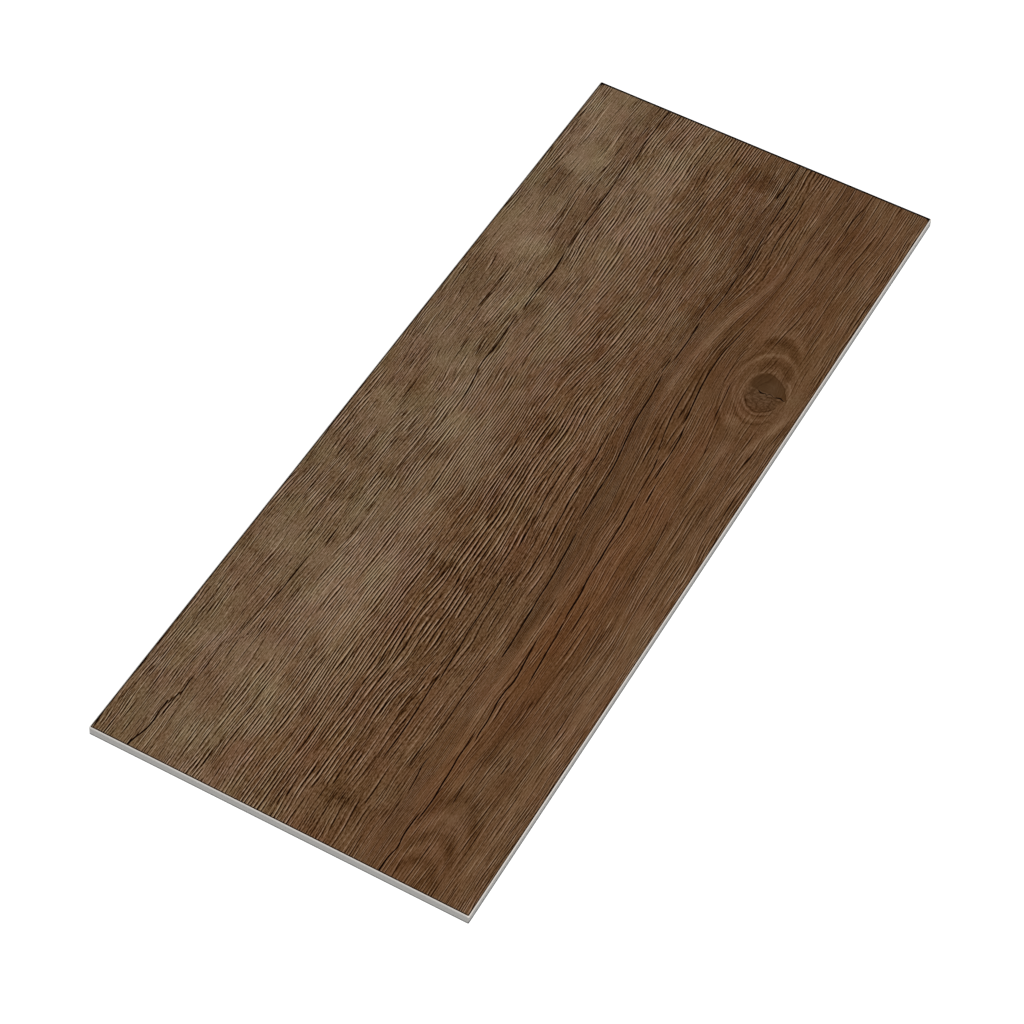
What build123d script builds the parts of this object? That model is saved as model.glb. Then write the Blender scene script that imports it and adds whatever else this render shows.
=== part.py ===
from build123d import *

import os

# Square-edged vinyl floor plank: a filled vinyl core with a printed, clear-coated top layer pressed onto it.
# Millimetres. The plank lies face up, with X across it, Y along the grain and Z up.
# The origin is the centre of the back face.

# Driving dimensions
length = 457.0
width = 180.0
core_thickness = 4.7
top_layer_thickness = 0.3
bevel = 0.8  # 45 degree micro-bevel, the same across the face as down the edge
corner_radius = 0.5  # easing of the four die-cut corners, from the back face up to the printed one

# Sizes that follow from them
thickness = core_thickness + top_layer_thickness
straight_edge = thickness - bevel  # height of the square edge below the bevel


def outline(inset):
    """The plank's outline, drawn in by the bevel's width or not at all."""
    return RectangleRounded(width - 2 * inset, length - 2 * inset, corner_radius)


def pressed_plank():
    """The whole laminate: square edges, then a bevel that closes in on the printed face."""
    edges = extrude(outline(0), amount=straight_edge)
    bevels = loft([Pos(0, 0, straight_edge) * outline(0), Pos(0, 0, thickness) * outline(bevel)], ruled=True)
    return edges + bevels


def layers(plank):
    """The two layers that show at the plank's edge, parted at the bond between them."""
    bond = Plane.XY.offset(core_thickness)
    return {
        "vinyl_core": split(plank, bisect_by=bond, keep=Keep.BOTTOM),
        "printed_top_layer": split(plank, bisect_by=bond, keep=Keep.TOP),
    }


os.makedirs("parts", exist_ok=True)
for name, layer in layers(pressed_plank()).items():
    export_step(layer, f"parts/{name}.step")
    print(name, "volume", round(layer.volume, 1), "mm3, box", layer.bounding_box().size)
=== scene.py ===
import math

import bpy
import numpy as np
from mathutils import Matrix, Vector


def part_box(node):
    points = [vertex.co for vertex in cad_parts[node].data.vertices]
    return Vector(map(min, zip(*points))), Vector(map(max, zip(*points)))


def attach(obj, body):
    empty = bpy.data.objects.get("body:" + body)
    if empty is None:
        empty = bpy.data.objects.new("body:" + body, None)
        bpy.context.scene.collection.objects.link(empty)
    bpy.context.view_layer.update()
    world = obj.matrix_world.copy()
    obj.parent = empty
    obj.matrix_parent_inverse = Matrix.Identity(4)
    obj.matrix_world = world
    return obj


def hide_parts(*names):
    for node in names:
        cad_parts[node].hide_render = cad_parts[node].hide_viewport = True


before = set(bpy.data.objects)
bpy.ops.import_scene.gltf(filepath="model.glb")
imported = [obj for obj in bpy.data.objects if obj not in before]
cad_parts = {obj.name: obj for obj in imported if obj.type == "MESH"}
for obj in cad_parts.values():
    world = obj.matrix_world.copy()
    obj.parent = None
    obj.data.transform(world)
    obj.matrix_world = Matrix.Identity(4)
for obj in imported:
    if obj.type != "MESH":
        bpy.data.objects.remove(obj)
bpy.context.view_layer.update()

mm = 0.001
topLow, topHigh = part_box("printed_top_layer")
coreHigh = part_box("vinyl_core")[1]
scene = bpy.context.scene


def linear(red, green, blue):  # screen colour 0 to 255, as a shader colour
    def one(value):
        value /= 255
        return value / 12.92 if value <= 0.04045 else ((value + 0.055) / 1.055) ** 2.4
    return (one(red), one(green), one(blue), 1.0)


# Small helpers for node trees, which serve shaders and Geometry Nodes alike

def addNode(tree, kind, **settings):
    node = tree.nodes.new(kind)
    for name, value in settings.items():
        setattr(node, name, value)
    return node


def treeOf(*values):  # the tree of the first socket among these
    return next(value.id_data for value in values if isinstance(value, bpy.types.NodeSocket))


def feed(socket, value):
    if isinstance(value, bpy.types.NodeSocket):
        treeOf(socket).links.new(value, socket)
    else:
        socket.default_value = value


def maths(operation, first, second=0.0):
    node = addNode(treeOf(first, second), "ShaderNodeMath", operation=operation)
    feed(node.inputs[0], first)
    feed(node.inputs[1], second)
    return node.outputs[0]


def times(first, second):
    return maths("MULTIPLY", first, second)


def plus(first, second):
    return maths("ADD", first, second)


def minus(first, second):
    return maths("SUBTRACT", first, second)


def partsOf(vector):
    node = addNode(treeOf(vector), "ShaderNodeSeparateXYZ")
    feed(node.inputs[0], vector)
    return node.outputs[:]


def scaled(vector, scale):
    node = addNode(treeOf(vector), "ShaderNodeVectorMath", operation="MULTIPLY")
    feed(node.inputs[0], vector)
    node.inputs[1].default_value = scale
    return node.outputs[0]


def moved(vector, offset):
    node = addNode(treeOf(vector), "ShaderNodeVectorMath", operation="ADD")
    feed(node.inputs[0], vector)
    feed(node.inputs[1], offset)
    return node.outputs[0]


def ramped(value, low, high, start=0.0, end=1.0, kind="SMOOTHSTEP"):
    node = addNode(treeOf(value), "ShaderNodeMapRange", interpolation_type=kind)
    feed(node.inputs["Value"], value)
    feed(node.inputs["From Min"], low)
    feed(node.inputs["From Max"], high)
    feed(node.inputs["To Min"], start)
    feed(node.inputs["To Max"], end)
    return node.outputs["Result"]


def noise(vector, cell, detail=1.0, roughness=0.5, colour=False):  # a cell of two sides is flat
    kind = "2D" if len(cell) == 2 else "3D"
    node = addNode(treeOf(vector), "ShaderNodeTexNoise", noise_dimensions=kind)
    scale = ([1 / side for side in cell] + [0])[:3]
    feed(node.inputs["Vector"], scaled(vector, scale))
    node.inputs["Scale"].default_value = 1.0
    node.inputs["Detail"].default_value = detail
    node.inputs["Roughness"].default_value = roughness
    return node.outputs[1 if colour else 0]


def blended(factor, first, second, kind="MIX"):
    node = addNode(treeOf(factor, first, second), "ShaderNodeMix", data_type="RGBA", blend_type=kind)
    feed(node.inputs[0], factor)
    feed(node.inputs[6], first)
    feed(node.inputs[7], second)
    return node.outputs[2]


def colourRamp(value, stops):
    node = addNode(treeOf(value), "ShaderNodeValToRGB")
    feed(node.inputs[0], value)
    points = node.color_ramp.elements
    while len(points) < len(stops):
        points.new(0.5)
    for point, (place, colour) in zip(points, stops):
        point.position = place
        point.color = linear(*colour)
    return node.outputs[0]


def newMaterial(name):
    material = bpy.data.materials.new(name)
    material.use_nodes = True
    tree = material.node_tree
    return material, tree, tree.nodes["Principled BSDF"]


def bumped(shader, height, strength, depth):  # depth in millimetres
    node = addNode(treeOf(height), "ShaderNodeBump")
    node.inputs["Strength"].default_value = strength
    node.inputs["Distance"].default_value = depth * mm
    feed(node.inputs["Height"], height)
    feed(shader.inputs["Normal"], node.outputs[0])


# The wood figure of the print: millimetres from the plank's left edge and from its near end

woodFigure = {
    "seed": 11,
    "size": (180.0, 457.0),
    # soft random layers: the first one's number, then the strength of each and its cell across and along
    "clouds": {
        "sway": (0, [(1.1, 34, 62), (0.55, 15, 24), (0.22, 6, 11)]),
        "blotX": (3, [(2.2, 7, 9), (1.0, 3, 5)]),
        "blotY": (5, [(3.5, 8, 12), (1.5, 3.5, 6)]),
        "streakBend": (7, [(0.3, 4, 17)]),
        "archBend": (8, [(0.6, 6, 8)]),
        "wornPatches": (9, [(0.045, 9, 9), (0.05, 4, 6)]),
        "narrowBands": (11, [(2.2, 2.8, 80)]),
        "wideBands": (12, [(2.2, 6, 120)]),
        "plainPatches": (13, [(0.025, 5, 8)]),
        "streakPatches": (14, [(0.4, 5, 22)]),
        "blotEdges": (15, [(0.5, 1.8, 6), (0.35, 0.9, 5)]),
        "linePatches": (20, [(0.6, 9, 19), (0.5, 4, 10)]),
        "smoothX": (22, [(2.5, 6, 8)]),
        "smoothY": (23, [(4.0, 6, 10)]),
        "porePatches": (25, [(0.35, 6, 14), (0.2, 3, 7)]),
        "warmPatches": (30, [(0.5, 14, 22), (0.4, 7, 11), (0.25, 3, 6)]),
        "blush": (33, [(0.35, 12, 16), (0.3, 6, 9), (0.2, 2.5, 5)]),
    },
    # values from the plank's left edge to its right one
    "tone": [
        (0, 0.57), (10, 0.62), (30, 0.63), (38, 0.63), (50, 0.66), (66, 0.67), (74, 0.595), (90, 0.56),
        (106, 0.535), (120, 0.49), (140, 0.505), (152, 0.54), (160, 0.53), (172, 0.565), (180, 0.55),
    ],
    "warmth": [
        (0, 0.39), (40, 0.41), (50, 0.5), (62, 0.62), (76, 0.82), (104, 0.9), (120, 0.9), (142, 0.94),
        (160, 0.9), (180, 0.82),
    ],
    "warmPatchiness": [(0, 0.3), (70, 0.3), (120, 0.22), (180, 0.2)],
    "blushPatchiness": [(0, 1), (80, 1), (120, 0.5), (180, 0.5)],
    "lines": [
        (0, 0.5), (8, 0.25), (18, 0.18), (32, 0.25), (44, 0.6), (56, 1), (66, 1.2), (90, 1.3),
        (98, 1.05), (106, 0.45), (114, 0.12), (124, 0.06), (160, 0.05), (172, 0.08), (180, 0.2),
    ],
    "pores": [
        (0, 1.2), (8, 1), (20, 1.1), (34, 1.05), (50, 0.8), (100, 0.7), (118, 0.6), (134, 0.5),
        (148, 0.45), (172, 0.5), (180, 0.7),
    ],
    "lineGaps": [
        (0, 1.3), (36, 1.3), (50, 1.35), (66, 1.35), (80, 1.4), (92, 1.55), (104, 1.35), (116, 1.1),
        (121, 0.75), (128, 0.75), (133, 1.1), (180, 1.1),
    ],
    "wornTo": (66, 104),  # worn wood on the left, plain wood on the right, and between them a change
    "bandStrength": 0.05,
    # warmer places: x, y, half width, half length
    "rustStrength": 0.55,
    "rust": [(147, 230, 7, 45), (150, 160, 8, 40), (142, 135, 6, 40), (140, 60, 6, 30)],
    # fibres that the grain follows, each with its place in plain straight wood
    "guides": [
        (0, [(0, 0), (0, 457)]),
        (40, [(40, 0), (40, 80), (41, 120), (42.5, 200), (42.8, 235), (40.4, 265), (40.2, 290),
              (40.8, 325), (39.2, 360), (38.2, 400), (38.5, 457)]),
        (86.5, [(88, 0), (87, 60), (86, 120), (86, 170), (84, 215), (83.5, 250), (84, 275), (86.5, 300),
                (88.3, 330), (88.5, 370), (88, 457)]),
        (120.5, [(127, 0), (127, 60), (128.6, 110), (128.6, 140), (127.5, 160), (126, 180),
                 (123.2, 200), (121.7, 222), (120.4, 240), (118, 260), (116.3, 280), (115, 300),
                 (115.2, 325), (116.2, 350), (117.8, 378), (116.4, 400), (115, 425), (113.5, 457)]),
        (129.8, [(133.5, 0), (134.5, 80), (135, 120), (134.2, 160), (133, 180), (131.2, 200),
                 (127.5, 235), (124.6, 262), (122, 290), (121.8, 312), (123.6, 332), (127, 350),
                 (131.5, 369), (134, 392), (133.4, 420), (132.5, 457)]),
        (138.3, [(139.5, 0), (140.5, 60), (143.5, 110), (143.9, 142), (142.4, 162), (140.9, 182),
                 (139.6, 208), (138.2, 228), (138, 250), (136.8, 272), (134.6, 292), (132.8, 308),
                 (132.6, 322), (134.2, 337), (136.4, 360), (137.6, 388), (138.5, 457)]),
        (180, [(180, 0), (180, 457)]),
    ],
    # the knot: the grain about it, then its heart and its rings
    "knot": {
        "at": (159.5, 313), "radius": 3.6, "stretch": 1.6,
        "pull": (134, 148),  # the span of x over which it sets in
        "patchAt": (160, 314),
        "wobbleCell": (3.0, 3.0), "wobble": (1.5, 2.0, 0),
        "domeAt": (161.3, 313.6), "dome": (9.7, 12), "lean": 0.33,
        "domeTones": (0.2, 0.27), "shadeCell": (2.0, 4.0), "shade": 0.12,
        "baseAt": (160.5, 312.5), "base": (8.8, 12), "baseTone": 0.3,
        "wrinkleCell": (2.0, 1.1), "wrinkles": 0.8,
        # the crack across it: start, box, and place, height and half width in shares of the box
        "crackFrom": (156.5, 311), "crackSpan": (14, 5),
        "crack": [
            (0, 0.55, 0.03), (0.08, 0.44, 0.09), (0.16, 0.35, 0.11), (0.23, 0.38, 0.07),
            (0.29, 0.46, 0.05), (0.34, 0.34, 0.06), (0.4, 0.5, 0.06), (0.47, 0.58, 0.04),
            (0.55, 0.48, 0.03), (0.63, 0.43, 0.03), (0.67, 0.5, 0.08), (0.75, 0.58, 0.09),
            (0.84, 0.62, 0.1), (0.9, 0.5, 0.08), (1, 0.54, 0.03),
        ],
        # centre, half axes, from and to in degrees, half width, lighter or darker by
        "rings": [
            ((158.5, 317.5), (13, 20.8), (15, 255), 1, 0.2),
            ((160, 313.5), (10.4, 13.6), (110, 245), 0.7, 0.18),
            ((160.3, 314.5), (11, 12.6), (-15, 60), 0.45, 0.28),
            ((158.5, 318), (8.5, 14.6), (15, 165), 2.3, -0.18),
            ((155, 322), (12.5, 24), (30, 135), 2.3, -0.21),
            ((155.5, 322), (15, 30), (40, 140), 1.4, 0.14),
            ((160.5, 312), (8.2, 10.8), (190, 350), 0.4, -0.28),
            ((160.5, 312), (9, 12.2), (195, 345), 0.4, 0.18),
            ((160.5, 312), (9.8, 13.8), (195, 345), 0.4, -0.24),
            ((160.5, 311.5), (10.7, 16), (200, 340), 0.6, 0.16),
            ((160.5, 311), (11.6, 18.3), (200, 335), 0.6, -0.18),
            ((159, 312), (17.5, 30), (110, 250), 0.9, -0.16),
            ((159, 312), (15.6, 27), (100, 250), 0.8, 0.15),
            ((163.6, 308), (1.7, 4.2), (-130, 200), 0.3, -0.2),
            ((161, 306.5), (1.2, 3.4), (60, 300), 0.3, -0.2),
            ((156, 308), (2.4, 3.6), (100, 330), 0.3, -0.16),
        ],
    },
    # weathering: x, y, half width, half length, lighter or darker by
    "blotStrength": 1.02,
    "blots": [
        (12, 445, 9, 20, 0.15), (18, 410, 11, 14, 0.15), (58, 421, 7, 15, 0.13), (62, 392, 6, 22, 0.09),
        (11, 350, 12, 18, 0.13), (25, 337, 9, 14, 0.13), (58, 360, 7, 18, 0.09), (29, 296, 8, 9, 0.08),
        (11, 216, 10, 7, 0.1), (50, 221, 6, 7, 0.1), (33, 166, 4, 4, 0.11), (56, 120, 14, 25, 0.13),
        (15, 126, 11, 8, 0.08), (20, 66, 12, 12, 0.06), (45, 58, 10, 16, 0.07), (77, 30, 7, 5, 0.08),
        (80.5, 418, 3.4, 7, 0.12), (61, 170, 6, 10, 0.08), (30, 250, 12, 14, 0.05),
        (66, 100, 8, 12, 0.06), (157, 268, 4, 9, 0.12), (147, 358, 3, 6, 0.12), (96, 336, 5, 6, 0.07),
        (175, 440, 6, 20, 0.05), (13, 384, 7, 12, -0.17), (15.5, 393, 5, 4, -0.09),
        (36, 446, 6, 10, -0.13), (36, 415, 5, 20, -0.07), (33, 370, 8, 12, -0.12),
        (38, 347, 4, 12, -0.11), (45, 303, 4, 6, -0.15), (46, 321, 6, 5, -0.06),
        (37, 277, 4, 13, -0.15), (14, 312, 9, 5, -0.09), (11, 302, 6, 4, -0.06), (23, 230, 3, 5, -0.11),
        (52, 237, 4, 6, -0.07), (45, 205, 9, 5, -0.11), (29, 203, 5, 5, -0.08), (20, 186, 8, 7, -0.1),
        (39, 183, 7, 7, -0.12), (25, 165, 8, 7, -0.13), (10, 193, 5, 8, -0.07), (5, 165, 3, 8, -0.06),
        (10, 118, 9, 3, -0.09), (18, 113, 3, 3, -0.07), (33, 98, 5, 9, -0.08), (62, 78, 7, 4, -0.08),
        (60, 67, 6, 5, -0.08), (73, 57, 4, 4, -0.06), (7, 37, 3, 5, -0.07), (23, 38, 3, 7, -0.05),
        (103, 434, 9, 5, -0.18), (88, 441, 7, 4, -0.08), (73, 424, 5, 9, -0.09), (72, 405, 5, 7, -0.08),
        (95, 402, 8, 9, -0.1), (108, 398, 6, 14, -0.08), (88, 362, 7, 9, -0.08), (77, 311, 5, 6, -0.14),
        (83, 290, 10, 9, -0.1), (82, 243, 8, 8, -0.2), (73, 229, 6, 5, -0.08), (85, 213, 6, 5, -0.16),
        (80, 190, 10, 12, -0.1), (90, 167, 8, 4, -0.1), (84, 148, 11, 4, -0.14), (63, 147, 8, 3, -0.05),
        (84, 45, 7, 5, -0.06), (80, 12, 6, 6, -0.09), (103, 25, 8, 4, -0.09), (112, 23, 5, 3, -0.05),
        (150, 425, 8, 14, -0.06), (178, 244, 3, 6, -0.12), (118, 380, 3, 10, -0.08),
        (94, 445, 10, 10, -0.05), (131, 305, 3, 8, -0.03), (154.5, 290, 3, 2.4, 0.26),
        (137, 322, 2.6, 22, -0.06),
    ],
    # soft bands along the grain: half width, lighter or darker by, and points
    "streakStrength": 1.4,
    "streaks": [
        (3.5, -0.11, [(113, 330), (113, 350), (118, 376), (117, 390), (115, 410), (113, 432),
                      (113, 457)]),
        (1.7, 0.2, [(122.5, 284), (121.3, 300), (122.5, 320), (124.5, 335), (127, 350), (132, 370),
                    (134, 390), (133.5, 420), (133, 457)]),
        (3, -0.09, [(134, 218), (135.5, 240), (134.5, 265), (132, 285), (130, 305), (130, 320),
                    (131, 340), (136, 360), (139, 382)]),
        (2.6, -0.11, [(123, 178), (122, 200), (121, 225), (119, 250), (117, 275), (115, 300)]),
        (1.3, 0.08, [(128, 238), (124, 265), (120, 290)]),
        (1.6, 0.13, [(113, 186), (112, 205), (110, 225), (107, 245), (104, 264)]),
        (1.5, 0.1, [(107, 196), (106, 215), (104, 232)]),
        (1.9, 0.13, [(136, 78), (135, 100), (136, 135), (136.5, 160), (138, 190), (137, 216)]),
        (2, -0.07, [(131, 118), (131, 150), (128, 170), (130, 202)]),
        (4.2, -0.12, [(148, 62), (149, 90), (149, 115), (147, 140), (146, 168)]),
        (0.9, 0.07, [(157, 98), (156, 110), (154, 132), (152, 158)]),
        (2, -0.06, [(160, 242), (158, 200), (159, 170)]),
        (1, 0.08, [(166, 120), (165, 140), (164, 170), (164, 200), (165.5, 230), (168, 255), (172, 275),
                   (178, 293)]),
        (1, -0.1, [(166.5, 200), (167, 225), (169.5, 250), (174, 270), (180, 287)]),
        (1.2, 0.08, [(170, 215), (171, 230), (174, 250), (180, 272)]),
        (1, -0.07, [(173, 215), (174.5, 235), (178, 255)]),
        (1.6, 0.12, [(125, 106), (124, 126), (122, 150), (120, 178)]),
        (1.7, 0.1, [(119, 58), (119, 75), (117, 95), (112, 117)]),
        (1.3, 0.1, [(107, 33), (106, 50), (105, 72)]), (1.2, 0.06, [(114, 30), (113.5, 62)]),
        (4, -0.09, [(132, 16), (128, 40), (128, 65), (130, 92)]),
        (1.3, 0.07, [(136, 28), (137, 50), (136, 80)]),
        (2.2, 0.06, [(172, 20), (173, 80), (174, 140), (174, 190)]),
        (1, -0.06, [(163, 120), (162, 150), (163, 180), (162, 205)]),
        (1.5, -0.07, [(125, 130), (126.5, 165), (124, 200)]),
        (1.4, 0.22, [(167, 266), (170, 284), (173.5, 296), (177, 308), (178.5, 318)]),
        (1.4, -0.2, [(170.5, 266), (173.5, 282), (177, 295), (179.5, 306)]),
        (2.5, 0.05, [(62, 100), (61, 150), (60, 200), (61, 240)]),
    ],
    # arches and rings: centre, half axes, from and to in degrees, half width, lighter or darker by
    "archStrength": 1.5,
    "arches": [
        (152, -2, 19, 74, 40, 140, 3, -0.06), (152, -2, 17, 50, 25, 155, 3, -0.1),
        (152, -2, 13, 29, 20, 160, 2.4, -0.11), (152, -2, 9, 15, 10, 170, 2, -0.12),
        (152, -2, 15, 39, 25, 155, 2.2, 0.08), (152, -2, 11, 22, 20, 160, 1.6, 0.06),
        (154, 320, 16, 35, 60, 140, 1.8, 0.08), (159, 314, 18, 33, 200, 320, 1.6, -0.05),
        (110, 10, 9, 14, 20, 160, 2, -0.07), (96, 424, 15, 17, 20, 110, 2, -0.07),
        (81, 414, 6.5, 15, 20, 170, 1.4, -0.07), (81, 414, 9.5, 22, 40, 150, 1.5, 0.05),
        (79.5, 410, 3.2, 9, 10, 170, 0.5, -0.14), (79.8, 408, 1.8, 6, 10, 170, 0.5, -0.12),
        (79.6, 409, 2.5, 7.6, 10, 170, 0.45, 0.1),
    ],
    # places where the face is smooth: x, y, half width, half length
    "smooth": [
        (15, 342, 13, 18), (16, 126, 8, 11), (33, 36, 9, 11), (39, 68, 6, 10), (20, 405, 8, 9),
        (17, 266, 7, 12), (25, 230, 10, 7), (15, 300, 7, 9), (33, 372, 5, 11), (157, 326, 11, 13),
        (101, 433, 5, 4), (12, 452, 8, 8), (159, 305, 9, 10), (147, 105, 6, 30), (150, 40, 9, 10),
        (152, 18, 10, 6), (20, 88, 6, 8), (133, 230, 4, 20), (131, 310, 4, 14), (137, 322, 3, 24),
        (140, 355, 6, 12), (130, 288, 8, 16), (172, 310, 7, 16), (168, 335, 9, 12),
    ],
    # broad places with deeper or shallower lines: x, y, half width, half length, change
    "depths": [
        (104, 6, 24, 46, -0.92), (108, 325, 15, 65, 0.9), (66, 230, 24, 75, 0.6),
        (130, 225, 10, 30, 0.4), (129, 356, 6, 20, 2.2),
    ],
    # cracks: half width, darkness, and points
    "cracks": [
        (0.31, 1, [(38.6, 457), (38.3, 440), (38.8, 422)]),
        (0.31, 1, [(37.6, 417), (37.9, 407), (38.7, 394), (39.1, 380), (39.2, 366), (39.1, 355),
                   (39.8, 346)]),
        (0.29, 0.95, [(40.1, 344), (41.2, 331), (40.6, 319), (40.2, 309), (41.1, 299)]),
        (0.31, 1, [(39.7, 298), (40.3, 286), (40.7, 271), (40.3, 262), (41.2, 256), (42.6, 248),
                   (43.1, 238)]),
        (0.33, 1, [(17.8, 0), (18.5, 3.5), (19.6, 7.5), (20.4, 11), (20.7, 16), (20.2, 21),
                   (20.2, 27.5)]), (0.32, 1, [(21.2, 26.5), (21.7, 30.5), (22.6, 34)]),
        (0.3, 1, [(23.3, 32), (22.9, 37), (22.6, 40), (22.8, 45)]),
        (0.2, 0.7, [(26.8, 46), (27.1, 51)]), (0.2, 0.7, [(28.4, 52), (28.1, 57)]),
        (0.23, 0.8, [(29.2, 58), (28.9, 64), (28.6, 71)]), (0.2, 0.6, [(29.6, 70), (30.4, 74)]),
        (0.23, 0.8, [(29.2, 80), (29.3, 88), (29.5, 96), (30.4, 102), (30.2, 110), (30.2, 118)]),
        (0.21, 0.7, [(26.9, 71), (26.8, 80)]), (0.2, 0.6, [(31, 74), (31, 80)]),
        (0.21, 0.75, [(10.9, 23), (10.7, 32), (10.3, 40), (9.6, 48)]),
        (0.2, 0.65, [(7.8, 64), (7.1, 76), (7.4, 84), (6.4, 94), (6.2, 106)]),
        (0.2, 0.6, [(6.4, 197), (5.8, 212)]), (0.23, 0.7, [(11.7, 157), (12, 169)]),
        (0.24, 0.8, [(33.9, 131), (33.7, 145)]), (0.23, 0.7, [(31.6, 207), (31.9, 219)]),
        (0.21, 0.65, [(20.2, 187), (20.6, 203)]), (0.21, 0.65, [(4.4, 295), (3.7, 313)]),
        (0.2, 0.6, [(9.4, 267), (8.5, 283)]), (0.2, 0.6, [(9.4, 238), (8, 250), (7, 260)]),
        (0.21, 0.7, [(12.6, 413), (12.4, 431)]), (0.18, 0.45, [(7, 440), (7.1, 457)]),
        (0.23, 0.7, [(32.4, 384), (31.5, 398)]), (0.21, 0.65, [(30.3, 404), (29.8, 426)]),
        (0.21, 0.7, [(27.1, 350), (26.9, 365), (25.3, 377), (24.9, 393)]),
        (0.2, 0.6, [(24.2, 409), (24.3, 425)]), (0.21, 0.6, [(24.4, 305), (23.2, 318)]),
        (0.23, 0.7, [(22.4, 316), (22, 324)]), (0.21, 0.6, [(27.4, 264), (26.8, 274)]),
        (0.23, 0.7, [(30.3, 340), (30, 358)]), (0.23, 0.75, [(66.7, 414), (66.5, 446)]),
        (0.23, 0.7, [(67.8, 395), (67, 412)]), (0.23, 0.75, [(70.8, 432), (70.8, 448)]),
        (0.24, 0.8, [(78.4, 405), (78.3, 416)]), (0.23, 0.7, [(81.9, 388), (81.6, 412)]),
        (0.23, 0.7, [(60.7, 352), (60.8, 376)]), (0.23, 0.7, [(63, 255), (63.2, 268)]),
        (0.23, 0.7, [(57.2, 268), (56.8, 276)]), (0.24, 0.8, [(58, 180), (57.6, 194)]),
        (0.23, 0.7, [(60.6, 115), (60.2, 129)]), (0.23, 0.7, [(74.2, 84), (74.4, 100)]),
        (0.23, 0.7, [(76.4, 110), (76.5, 130), (76.8, 160)]), (0.23, 0.7, [(50.2, 5), (50.2, 27)]),
        (0.21, 0.65, [(52.9, 8), (52.6, 22)]), (0.23, 0.7, [(51.6, 36), (51.4, 58)]),
        (0.23, 0.7, [(86.8, 84), (86.6, 118)]), (0.33, 1, [(110.2, 430), (110.6, 445), (110.4, 457)]),
        (0.3, 1, [(115.6, 410), (115.3, 422), (115, 436)]),
        (0.25, 0.95, [(117.7, 375), (117.9, 383), (117.2, 393), (116.3, 405)]),
        (0.3, 1, [(116.8, 344), (117.3, 358), (117, 374)]), (0.24, 0.8, [(113.9, 338), (113.5, 352)]),
        (0.29, 1, [(115.2, 308), (115.5, 318), (115.4, 326), (115, 338)]),
        (0.29, 0.9, [(113.7, 299), (113.8, 310)]), (0.21, 0.6, [(112.4, 301), (112.9, 312)]),
        (0.3, 1, [(121.6, 228), (121.2, 236), (120.2, 245), (119, 253), (118, 260), (116.9, 268),
                  (116.5, 277), (116.3, 284), (115.6, 291), (114.8, 300)]),
        (0.29, 0.95, [(122.3, 202), (122.1, 212), (121.7, 222), (121.6, 230)]),
        (0.29, 0.95, [(129.4, 118), (129.2, 128), (128.7, 138), (128.2, 147), (127.6, 156),
                      (127.4, 164), (126.9, 172), (126.1, 181), (125.4, 189), (124.4, 198)]),
        (0.24, 0.8, [(125, 69), (125.4, 80), (125.3, 95), (125.6, 116)]),
        (0.23, 0.7, [(123.4, 48), (123.2, 67)]),
        (0.27, 0.95, [(136.5, 276), (136, 283), (135, 290), (134, 297), (133.2, 304), (132.7, 312),
                      (132.5, 320), (132.8, 328), (134.1, 336), (134.9, 345)]),
        (0.27, 0.95, [(140.3, 240), (140, 247), (139.6, 256), (139.3, 264), (138.8, 270),
                      (137.6, 277)]), (0.26, 0.9, [(143.4, 226), (142.7, 233), (142.1, 240)]),
        (0.24, 0.85, [(138.2, 226), (137.5, 236), (136.7, 248), (135.2, 256)]),
        (0.29, 1, [(142.6, 151), (142.4, 161), (142.1, 168), (141.2, 174), (140.7, 181), (140.6, 189),
                   (140, 196), (139.8, 202), (139.6, 209), (138.8, 217), (138, 228)]),
        (0.27, 0.9, [(145.9, 112), (145.2, 122), (144.7, 129), (144.2, 136), (143.9, 143),
                     (143.4, 149)]),
        (0.29, 1, [(140.9, 75), (140.3, 80), (140.2, 87), (139.8, 92), (139.1, 98), (139.2, 105),
                   (139.9, 111), (139.6, 116), (139, 122), (138.3, 129), (137.9, 136)]),
        (0.3, 1, [(139.7, 29), (140, 36), (140.1, 42), (139.6, 50), (139.3, 58), (138.7, 65),
                  (138.8, 72), (138.5, 81)]),
        (0.3, 1, [(138.3, 0), (138.5, 9), (139.3, 14), (138.5, 19), (138.4, 26), (138.8, 34)]),
        (0.27, 0.9, [(112.7, 94), (112.2, 99), (111.7, 107), (111.4, 113), (110.9, 119), (110.4, 124),
                     (110.2, 132), (110, 140), (109.6, 148), (108.9, 158)]),
        (0.26, 0.85, [(112, 48), (112.4, 62), (112.2, 72), (111.8, 82), (111.3, 91), (111, 99)]),
        (0.26, 0.85, [(117.5, 163), (117, 170), (116.5, 178), (115.8, 187), (115.2, 194), (114.4, 203),
                      (113.3, 213), (113, 222), (112.3, 232), (111, 245), (110, 257)]),
        (0.24, 0.8, [(108.9, 192), (108.2, 204), (107.5, 214), (107, 222), (106.2, 234), (105.8, 242)]),
        (0.24, 0.8, [(106.8, 176), (105.8, 187), (104.7, 197), (103.6, 208), (103.2, 218),
                     (102.8, 228)]), (0.23, 0.75, [(105.1, 152), (104.9, 164), (104.6, 176)]),
        (0.26, 0.8, [(99.3, 214), (99.2, 232)]), (0.23, 0.75, [(111, 180), (110.2, 196)]),
        (0.23, 0.7, [(114.8, 148), (114.3, 167)]),
        (0.24, 0.8, [(124.7, 390), (123.3, 402), (123.7, 415), (123.2, 427), (122.4, 438)]),
        (0.23, 0.75, [(149, 423), (148.4, 433), (149.6, 447)]),
        (0.21, 0.6, [(151.1, 437), (150.8, 446)]), (0.21, 0.65, [(140.6, 446), (140.3, 457)]),
        (0.23, 0.7, [(128.2, 376), (128, 387)]), (0.21, 0.65, [(137.4, 382), (136.7, 400)]),
        (0.21, 0.65, [(136, 408), (136.4, 425)]), (0.21, 0.65, [(144.4, 392), (144.6, 420)]),
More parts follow.
